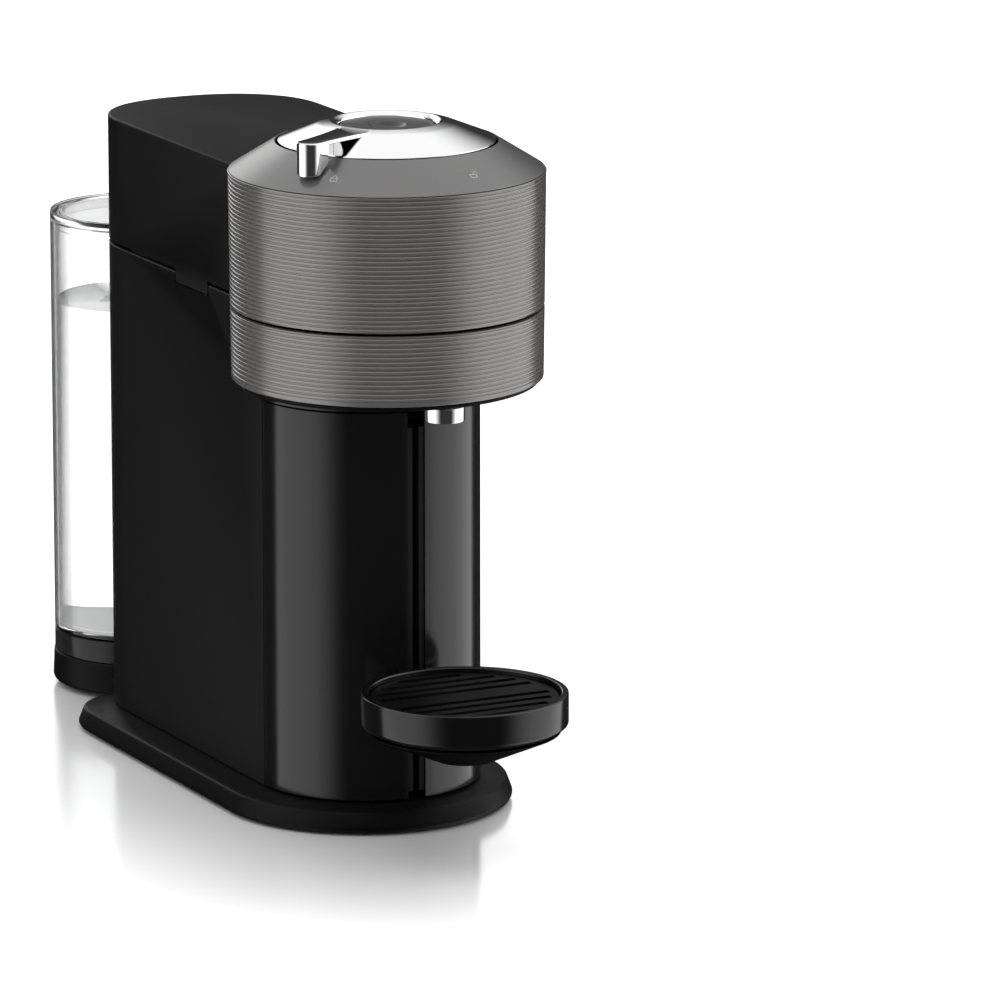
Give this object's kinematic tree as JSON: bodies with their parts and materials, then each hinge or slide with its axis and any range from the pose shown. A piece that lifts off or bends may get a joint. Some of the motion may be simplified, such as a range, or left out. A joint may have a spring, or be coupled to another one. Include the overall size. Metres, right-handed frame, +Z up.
{
  "type": "pod coffee machine",
  "caption": "Pod coffee machine: ribbed drum head with a turning lock lever on a slim black column, a height-adjustable cup support and a clear lift-off water tank.",
  "frame": {"origin": "on the floor, at the middle of the footprint's bounding box", "axes": "+Z up, -Y out of the front where the cup stands; the lock lever rests on the -X side"},
  "size_m": [0.1394, 0.429, 0.312],
  "materials": {
    "satin_black": "satin moulded black plastic",
    "gloss_black": "polished black plastic",
    "ribbed_grey": "warm grey metallic lacquer over fine horizontal ribs",
    "smooth_grey": "warm grey metallic lacquer, smooth",
    "chrome": "bright chrome plate",
    "steel": "plain machined or drawn steel",
    "rubber": "dull black rubber",
    "clear_plastic": "clear polished plastic",
    "smoked_plastic": "dark smoked see-through plastic",
    "grey_plastic": "dark grey engineering plastic",
    "white_plastic": "off-white plastic",
    "copper": "copper-coloured heater casing",
    "board_green": "green circuit board"
  },
  "bodies": {
    "base": {"base_cover": "satin_black", "bottom_plate": "satin_black", "foot_front_left": "rubber", "foot_front_right": "rubber", "foot_rear_left": "rubber", "foot_rear_right": "rubber", "base_screw_left": "steel", "base_screw_right": "steel", "tank_seat": "satin_black", "valve_pin": "grey_plastic", "cord_gland": "rubber", "body_housing": "satin_black", "inner_deck": "satin_black", "chassis": "grey_plastic", "neck_collar": "satin_black", "lower_drum": "ribbed_grey", "drum_floor": "satin_black", "chamber_bowl": "satin_black", "coffee_outlet": "chrome", "holder_bearing": "steel", "code_reader": "grey_plastic", "spin_motor": "steel", "drive_belt": "rubber", "hinge_bracket": "steel", "hinge_pin": "steel", "hinge_spring": "steel", "vibration_pump": "steel", "pump_mount": "rubber", "flow_heater": "copper", "flow_meter": "white_plastic", "control_board": "board_green", "meter_hose": "rubber", "pressure_hose": "white_plastic", "brew_hose": "white_plastic"},
    "head": {"head_drum": "ribbed_grey", "top_cone": "smooth_grey", "head_cover": "satin_black", "head_core": "grey_plastic", "injection_plate": "steel", "injection_needle": "steel", "chamber_seal": "rubber", "hinge_arm": "steel", "button_spring": "steel"},
    "lever": {"lock_lever": "chrome", "lock_ring": "grey_plastic"},
    "button": {"brew_button": "gloss_black"},
    "spinner": {"capsule_holder": "grey_plastic"},
    "rotor": {"motor_pulley": "steel"},
    "container": {"capsule_container": "gloss_black", "support_rail": "satin_black"},
    "cup_support": {"cup_support": "satin_black", "drip_tray": "gloss_black"},
    "grid": {"drip_grid": "satin_black"},
    "tank": {"water_tank": "clear_plastic", "tank_foot": "smoked_plastic", "valve_cage": "clear_plastic", "valve_spring": "steel"},
    "valve": {"valve_plunger": "clear_plastic"},
    "lid": {"tank_lid": "clear_plastic"}
  },
  "joints": [
    {"name": "head_hinge", "type": "hinge", "parent": "base", "child": "head", "pos_m": [0, 0.1163, 0.237], "axis": [-1, 0, 0], "range_deg": [0, 30]},
    {"name": "lever_turn", "type": "hinge", "parent": "head", "child": "lever", "pos_m": [0, -0.0935, 0.3], "axis": [0, 0, 1], "range_deg": [0, 70]},
    {"name": "button_press", "type": "slide", "parent": "head", "child": "button", "axis": [0, 0, -1], "range_m": [0, 0.0015], "stiffness_N_per_m": 2000, "springref_m": -0.001, "deforming": ["button_spring"]},
    {"name": "capsule_spin", "type": "hinge", "parent": "base", "child": "spinner", "pos_m": [0, -0.0935, 0.21], "axis": [0, 0, 1], "continuous": true},
    {"name": "rotor_spin", "type": "hinge", "parent": "base", "child": "rotor", "pos_m": [0, -0.0085, 0.21], "axis": [0, 0, 1], "continuous": true},
    {"name": "container_slide", "type": "slide", "parent": "base", "child": "container", "axis": [0, -1, 0], "range_m": [0, 0.11]},
    {"name": "support_lift", "type": "slide", "parent": "container", "child": "cup_support", "axis": [0, 0, 1], "range_m": [-0.026, 0.045]},
    {"name": "grid_lift", "type": "slide", "parent": "cup_support", "child": "grid", "axis": [0, 0, 1], "range_m": [0, 0.02]},
    {"name": "tank_lift", "type": "slide", "parent": "base", "child": "tank", "axis": [0, 0.6, 0.8], "range_m": [0, 0.06]},
    {"name": "lid_lift", "type": "slide", "parent": "tank", "child": "lid", "axis": [0, 0, 1], "range_m": [0, 0.03]},
    {"name": "valve_lift", "type": "slide", "parent": "tank", "child": "valve", "axis": [0, 0, 1], "range_m": [0, 0.0025], "stiffness_N_per_m": 300, "springref_m": -0.002, "deforming": ["valve_spring"]}
  ],
  "couplings": [
    {"joint": "rotor_spin", "follows": "capsule_spin", "ratio": 3.75}
  ]
}
